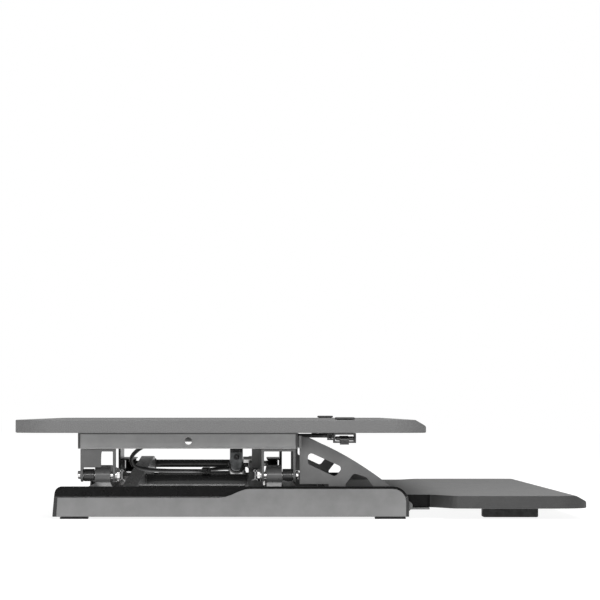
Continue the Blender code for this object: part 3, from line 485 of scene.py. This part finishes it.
def catmull(points, steps):
    """Points of a smooth curve through the given ones, with a number of steps between two."""
    knots = [Vector(point) for point in points]
    knots = [2 * knots[0] - knots[1], *knots, 2 * knots[-1] - knots[-2]]
    route = []
    for i in range(1, len(knots) - 2):
        a, b, c, d = knots[i - 1:i + 3]
        for step in range(steps):
            t = step / steps
            route.append(0.5 * (
                2 * b + (c - a) * t + (2 * a - 5 * b + 4 * c - d) * t**2
                + (3 * b - a - 3 * c + d) * t**3
            ))
    route.append(knots[-2])
    return route


def tube(name, points, radius, sides=16, steps=10):
    """A round tube along a smooth route, as a mesh with closed ends."""
    route = catmull(points, steps)
    bm = bmesh.new()
    normal = (route[1] - route[0]).orthogonal().normalized()
    rings = []
    for index, place in enumerate(route):
        ahead = route[min(index + 1, len(route) - 1)] - route[max(index - 1, 0)]
        ahead.normalize()
        normal = (normal - ahead * normal.dot(ahead)).normalized()
        side = ahead.cross(normal)
        rings.append([
            bm.verts.new(
                place + radius * (normal * math.cos(math.tau * k / sides)
                                  + side * math.sin(math.tau * k / sides))
            )
            for k in range(sides)
        ])
    for ring, following in zip(rings, rings[1:]):
        for k in range(sides):
            j = (k + 1) % sides
            bm.faces.new((ring[k], ring[j], following[j], following[k]))
    bm.faces.new(reversed(rings[0]))
    bm.faces.new(rings[-1])
    bmesh.ops.recalc_face_normals(bm, faces=bm.faces)
    return shade(new_object(name, bm), ROUNDED_SHARP)


# Camera, light and floor

def add_camera():
    """The view from the left side, level, just above the desk."""
    data = bpy.data.cameras.new("camera")
    data.lens = CAMERA_LENS
    data.sensor_width = 36.0
    data.shift_x, data.shift_y = CAMERA_SHIFT
    data.clip_end = 50.0
    camera = bpy.data.objects.new("camera", data)
    camera.location = CAMERA_PLACE
    camera.rotation_euler = (math.radians(90), 0, math.radians(-90))
    bpy.context.scene.collection.objects.link(camera)
    bpy.context.scene.camera = camera


def add_area(name, place, target, size, power):
    """A rectangular light that points at a target."""
    data = bpy.data.lights.new(name, "AREA")
    data.shape = "RECTANGLE"
    data.size, data.size_y = size
    data.energy = power
    light = bpy.data.objects.new(name, data)
    light.location = place
    light.rotation_euler = (Vector(target) - Vector(place)).to_track_quat("-Z", "Y").to_euler()
    bpy.context.scene.collection.objects.link(light)


def add_studio():
    """Soft light from all round, a background that is seen as white, four lights and a floor."""
    world = bpy.data.worlds.new("studio")
    world.use_nodes = True
    nodes, links = world.node_tree.nodes, world.node_tree.links
    ambient = nodes["Background"]
    ambient.inputs["Color"].default_value = (1.0, 1.0, 1.0, 1.0)
    ambient.inputs["Strength"].default_value = AMBIENT
    seen = nodes.new("ShaderNodeBackground")
    seen.inputs["Color"].default_value = (1.0, 1.0, 1.0, 1.0)
    seen.inputs["Strength"].default_value = 1.0
    rays = nodes.new("ShaderNodeLightPath")
    mix = nodes.new("ShaderNodeMixShader")
    links.new(rays.outputs["Is Camera Ray"], mix.inputs[0])
    links.new(ambient.outputs["Background"], mix.inputs[1])
    links.new(seen.outputs["Background"], mix.inputs[2])
    links.new(mix.outputs["Shader"], nodes["World Output"].inputs["Surface"])
    bpy.context.scene.world = world
    bpy.context.scene.view_settings.view_transform = "Standard"
    for light in LIGHTS:
        add_area(*light)
    outline = box_outline((-FLOOR_REACH, -FLOOR_REACH), (FLOOR_REACH, FLOOR_REACH))
    floor = prism("floor", outline, "Z", -FLOOR_THICKNESS, 0.0)
    paper = shader("paper", grey(0.35), roughness=0.9, specular=0.0)
    surface = paper.node_tree.nodes["Principled BSDF"]
    surface.inputs["Emission Color"].default_value = (1, 1, 1, 1)
    surface.inputs["Emission Strength"].default_value = FLOOR_GLOW
    vary_colour(paper, add_noise(paper, 3.0, 2.0), grey(0.345), grey(0.355))
    floor.data.materials.append(paper)


# Pieces

def dress_base():
    """The two sides with a painted highlight along their covers' crest, their trims, the feet,
    the tracks and the pins' brackets.
    """
    for side, sign in SIDES:
        shell = refined("base_side_" + side, 0.0008, FRAME_PAINT)
        # Faces on the covers' crest take the light paint, as a painted highlight
        shell.data.materials.append(CREST_HIGHLIGHT_PAINT)
        for face in shell.data.polygons:
            x, y, z = face.center
            across = HIGHLIGHT_X[0] < sign * x < HIGHLIGHT_X[1]
            if across and HIGHLIGHT_Y[0] < y < HIGHLIGHT_Y[1] and z > HIGHLIGHT_LOW:
                face.material_index = 1
        refined("side_trim_" + side, 0.0006, TRIM)
        for end in ENDS:
            refined(f"rubber_foot_{end}_{side}", 0.0004, RUBBER)
    for end in ENDS:
        refined(end + "_track", 0.0006, FRAME_PAINT)
        refined("lower_bracket_" + end, 0.0005, FRAME_PAINT)
        refined("lower_pin_" + end, 0.0002, STEEL)


def tube_size(node):
    """The centre, the radius and the two ends of a tube that runs along Y."""
    low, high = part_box(node)
    return (low + high) / 2, (high.x - low.x) / 2, low.y, high.y


def dress_arms():
    """The scissor's arms, bolts, glides and cross tubes."""
    for end in ENDS:
        refined("inner_arm_" + end, 0.0015, ARM_PAINT, 3)
        refined("outer_arm_" + end, 0.0015, ARM_PAINT, 3)
        refined("mid_bolt_" + end, 0.0003, STEEL)
        refined("upper_glide_" + end, 0.0004, PLASTIC)
        refined("lower_glide_" + end, 0.0004, PLASTIC)
        keep("upper_glide_pin_" + end, STEEL)
        keep("lower_glide_pin_" + end, STEEL)
    for node in CROSS_TUBES:
        centre, radius, front, rear = tube_size(node)
        length = rear - front
        profile = softened([(0, 0), (radius, 0), (radius, length), (0, length)], 0.0006)
        obj = turn(node + "_shell", profile, (centre.x, front, centre.z), (0, 1, 0))
        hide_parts(node)
        body_piece(obj, BODY_OF[node], TUBE_PAINT)
    refined("cable_clip", 0.0003, PLASTIC)
    # The spring bracket's paint is lightened as painted light against the desktop's shade
    refined("spring_bracket", 0.0005, BRACKET_PAINTED_LIGHT)
    keep("spring_pin", STEEL)


def dress_spring():
    """A smoother cylinder with its rolled end, seal and hub, and the polished rod."""
    along = SPRING_HEAD - SPRING_EYE
    length = along.length
    along.normalize()
    outside = softened([
        (0.0070, 0.013), (0.0085, 0.0142), (BARREL_RADIUS, 0.020),
        (BARREL_RADIUS, BARREL_END - 0.0060), (GROOVE_RADIUS, BARREL_END - 0.0052),
        (GROOVE_RADIUS, BARREL_END - 0.0040), (BARREL_RADIUS, BARREL_END - 0.0032),
        (BARREL_RADIUS, BARREL_END - 0.0015), (0.0100, BARREL_END), (BORE_RADIUS, BARREL_END),
    ], 0.0008)
    bore_end = BARREL_END - BORE_DEPTH
    barrel_profile = [(0, 0.013), *outside, (BORE_RADIUS, bore_end), (0, bore_end)]
    barrel = turn("spring_barrel", barrel_profile, SPRING_EYE, along, 72)
    lug_profile = [(0, 0.0095), (0.0062, 0.0095), (0.0062, 0.0145), (0, 0.0145)]
    lug = turn("spring_lug", lug_profile, SPRING_EYE, along, 48)
    hub_profile = [
        (0.0083, 0), (0.0116, 0), (0.0122, 0.0006),
        (0.0122, HUB_WIDTH - 0.0006), (0.0116, HUB_WIDTH), (0.0083, HUB_WIDTH),
    ]
    hub_start = SPRING_EYE - Vector((0, HUB_WIDTH / 2, 0))
    hub = turn("spring_hub", hub_profile, hub_start, (0, 1, 0), 72)
    body = merged("gas_spring_body", [barrel, lug, hub])
    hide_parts("gas_spring_cylinder")
    body_piece(body, "gas_spring", SPRING_PAINT)
    seal_profile = softened([
        (0.0052, 0), (0.0085, 0), (0.0085, 0.0012), (0.0060, 0.0022), (0.0052, 0.0022),
    ], 0.0004)
    seal = turn("spring_seal", seal_profile, SPRING_EYE + along * BARREL_END, along, 56)
    body_piece(seal, "gas_spring", RUBBER)
    rod_start = BARREL_END - ROD_DEPTH
    rod_length = length - HEAD_REACH - rod_start
    rod_profile = softened(
        [(0, 0), (ROD_RADIUS, 0), (ROD_RADIUS, rod_length), (0, rod_length)], 0.0004
    )
    rod = turn("spring_rod_bar", rod_profile, SPRING_EYE + along * rod_start, along, 64)
    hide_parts("gas_spring_rod")
    body_piece(rod, "spring_rod", CHROME)
    refined("release_head", 0.0012, ZINC, 3)


def weld_bead(name, body, x, z, radius, y, way):
    """A lumpy fillet of weld round the end of a tube along Y."""
    fillet = [
        (radius + WELD_SIZE * math.cos(angle), way * WELD_SIZE * math.sin(angle))
        for angle in (math.radians(15 * step) for step in range(7))
    ]
    inside = radius - WELD_SINK
    profile = [(inside, 0), *fillet, (inside, way * WELD_SIZE)]
    bead = turn(name, profile, (x, y, z), (0, 1, 0), 72)
    for vertex in bead.data.vertices:
        dx, dz = vertex.co.x - x, vertex.co.z - z
        if math.hypot(dx, dz) > radius + WELD_SINK / 2:
            around = math.atan2(dz, dx)
            ripple = 0.035 * math.sin(13 * around + 40 * y)
            grain = 0.02 * math.sin(29 * around + 1.3)
            lump = 1 + ripple + grain
            vertex.co.x = x + dx * lump
            vertex.co.z = z + dz * lump
    body_piece(bead, body, WELD)


def dress_welds():
    """Beads round both ends of the cross tubes."""
    for node in CROSS_TUBES:
        centre, radius, front, rear = tube_size(node)
        for end, y, way in (("front", front, 1), ("rear", rear, -1)):
            name = f"{node}_weld_{end}"
            weld_bead(name, BODY_OF[node], centre.x, centre.z, radius, y, way)


def board(node, name, edge_material):
    """A laminated board: its faces, and an edge band in its own tone, with eased edges."""
    obj = refined(node, BOARD_EASE, TOP, segments=3, angle=20)
    obj.name = name
    obj.data.materials.append(edge_material)
    for face in obj.data.polygons:
        face.material_index = 0 if abs(face.normal.z) > FACE_NORMAL else 1
    return obj


def dress_platform():
    """The two boards, the rails and brackets that carry them, the handles and the pivots."""
    board("desktop", "desktop_board", EDGE)
    tray = board("keyboard_tray", "keyboard_tray_board", TRAY_EDGE)
    # The rear of the tray's edge takes the near-black paint, as painted shade where that edge
    # lies in shadow
    tray.data.materials.append(SHADED_TRAY_EDGE)
    for face in tray.data.polygons:
        if face.material_index == 1 and face.center.y > TRAY_SHADE_FROM:
            face.material_index = 2
    for side, _ in SIDES:
        refined("rail_" + side, 0.0008, RAIL_PAINT)
        refined("tray_bracket_" + side, 0.0006, PLATE_PAINT)
        refined("tray_foot_" + side, 0.0006, RUBBER)
        refined("handle_housing_" + side, 0.0003, PLASTIC)
        refined("release_lever_" + side, 0.0005, DARK_PLASTIC)
    for end in ENDS:
        refined("upper_clevis_" + end, 0.0005, CLEVIS_PAINT)
        refined("upper_guide_" + end, 0.0006, FRAME_PAINT)
        refined("upper_pin_" + end, 0.0003, STEEL)
        refined("pivot_bush_" + end, 0.0003, TUBE_PAINT)


def dress_cables():
    """The cable in two stretches, and its ferrule."""
    drop = tube("release_cable_run", CABLE_DROP, CABLE_RADIUS)
    drop.data.materials.append(SHEATH)
    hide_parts("release_cable_drop")
    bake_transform(drop)
    head = tube("release_cable_end", CABLE_HEAD, CABLE_RADIUS)
    head.data.materials.append(SHEATH)
    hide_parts("release_cable_head")
    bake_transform(head)
    profile = softened(
        [(0, 0), (0.0033, 0), (0.0033, 0.008), (0.0028, 0.010), (0, 0.010)], 0.0004
    )
    place, direction = (-0.4360, -0.0320, 0.0965), (1, -0.02, 0.02)
    ferrule = turn("cable_ferrule", profile, place, direction, 32)
    body_piece(ferrule, "platform", STEEL)


def washer(name, body, centre, direction, outer, thick):
    """A flat washer on a pin, its outer edges eased."""
    eased = outer - WASHER_EASE
    profile = [
        (PIN_BORE, 0), (eased, 0), (outer, WASHER_EASE), (outer, thick - WASHER_EASE),
        (eased, thick), (PIN_BORE, thick),
    ]
    body_piece(turn(name, profile, centre, direction, 40), body, STEEL)


def nut(name, body, x, y0, y1, z, radius):
    """A hexagon nut along Y with chamfered corners."""
    corners = [math.radians(60 * i + 30) for i in range(6)]
    outline = [(x + radius * math.cos(a), z + radius * math.sin(a)) for a in corners]
    obj = prism(name, outline, "Y", min(y0, y1), max(y0, y1))
    body_piece(shade_flats(round_edges(obj, 0.0004)), body, STEEL)


def cotter_pin(name, body, x, y, z, length, radius):
    """A split pin through a shaft along Y: its eye above, and its two legs bent apart below."""
    foot = z - length / 2
    throat = z + length * 0.35
    shoulder = z + length * 0.50
    loop = [
        (x, y - 0.0004, foot), (x, y - 0.0004, throat), (x, y - 0.0020, shoulder),
        (x, y, z + length * 0.68),
        (x, y + 0.0020, shoulder), (x, y + 0.0004, throat), (x, y + 0.0004, foot),
    ]
    leg = [
        (x, y + 0.0004, foot), (x, y + 0.0014, z - length * 0.58),
        (x, y + 0.0042, z - length * 0.66),
    ]
    other_leg = [
        (x, y - 0.0004, foot), (x, y - 0.0014, z - length * 0.58),
        (x, y - 0.0036, z - length * 0.70),
    ]
    wires = [
        tube(f"{name}_{part}", route, radius, sides=10, steps=6)
        for part, route in (("loop", loop), ("leg", leg), ("other_leg", other_leg))
    ]
    body_piece(merged(name, wires), body, DULL_STEEL)


def socket_screw(name, body, centre, direction, radius):
    """A low round screw head with a round socket in it."""
    socket = radius * 0.42
    profile = [
        (0, 0), (radius, 0), (radius, radius * 0.35), (radius * 0.82, radius * 0.62),
        (socket, radius * 0.70), (socket, radius * 0.30), (0, radius * 0.30),
    ]
    head = turn(name, softened(profile, radius * 0.08), centre, direction, 36)
    body_piece(head, body, BLACK_STEEL)


def dress_clevis_hardware():
    """Washers, nuts and split pins on the left ends of the outer arms' pins."""
    for end, y, way in WASHER_FACES:
        washer("clevis_washer_" + end, "platform", (PIN_X, y, PIN_Z), (0, way, 0), 0.0078, 0.0012)
        near, far, split = y + way * 0.0014, y + way * 0.0049, y + way * 0.0072
        nut("clevis_nut_" + end, "platform", PIN_X, near, far, PIN_Z, 0.0072)
        cotter_pin("clevis_split_pin_" + end, "platform", PIN_X, split, PIN_Z, 0.0092, 0.00045)
    for end, y, way in BUSH_FACES:
        washer("bush_washer_" + end, "platform", (PIN_X, y, PIN_Z), (0, way, 0), 0.0068, 0.0003)


def dress_rails():
    """The bands across the ends of each rail's outer face, and the lips along its two edges."""
    for side, sign in SIDES:
        low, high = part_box("rail_" + side)
        near, far = sorted((sign * (RAIL_FACE - 0.0005), sign * (RAIL_FACE + 0.0006)))
        bands = (
            ("rear", high.y - 0.0024, high.y + 0.0003),
            ("front", low.y, low.y + 0.0026),
        )
        for end, front, rear in bands:
            band = block(
                f"rail_end_{end}_{side}", (near, front, low.z + 0.0002),
                (far, rear, high.z - 0.0002), 0.0003,
            )
            body_piece(band, "platform", RAIL_END_PAINT)
        near, far = sorted((sign * RAIL_FACE, sign * (RAIL_FACE + 0.0004)))
        lips = (
            ("top", high.z - 0.0011, RAIL_END_PAINT),
            ("bottom", low.z + 0.0009, RAIL_PAINT),
        )
        for part, z, paint in lips:
            lip = block(
                f"rail_lip_{part}_{side}", (near, low.y + 0.0006, z - 0.0007),
                (far, high.y - 0.0006, z + 0.0007), 0.0002,
            )
            body_piece(lip, "platform", paint)


def dress_release_head():
    """The bolt, its rim, and the clamp plate with its two screws, on the head's -X face."""
    bolt_profile = softened([
        (0, 0), (0.0036, 0), (0.0036, 0.0014), (0.0030, 0.0022), (0.0013, 0.0022),
        (0.0013, 0.0010), (0, 0.0010),
    ], 0.0003)
    bolt = turn("head_bolt", bolt_profile, HEAD_BOLT, (-1, 0, 0), 40)
    body_piece(bolt, "spring_rod", BLACK_STEEL)
    rim_profile = softened([(0.0040, 0), (0.0052, 0), (0.0052, 0.0008), (0.0040, 0.0008)], 0.0002)
    rim = turn("head_rim", rim_profile, HEAD_BOLT, (-1, 0, 0), 40)
    body_piece(rim, "spring_rod", ZINC)
    front = HEAD_FACE - CLAMP_THICKNESS
    plate = block("head_clamp", (front, 0.0712, 0.0715), (HEAD_FACE, 0.0868, 0.0772), 0.0006)
    body_piece(plate, "spring_rod", FRAME_PAINT)
    for index, y in enumerate((0.0738, 0.0842)):
        screw = f"head_screw_{index}"
        socket_screw(screw, "spring_rod", (front, y, 0.0744), (-1, 0, 0), 0.0017)


def dress_underside():
    """Screws through the tray brackets into the tray."""
    for side, sign in SIDES:
        for index, y in enumerate(TRAY_SCREWS_Y):
            screw = f"tray_screw_{index}_{side}"
            place = (sign * TRAY_SCREW_X, y, TRAY_SCREW_Z)
            socket_screw(screw, "platform", place, (0, 0, -1), 0.0036)


add_camera()
add_studio()
dress_base()
dress_arms()
dress_spring()
dress_welds()
dress_platform()
dress_cables()
dress_clevis_hardware()
dress_rails()
dress_release_head()
dress_underside()
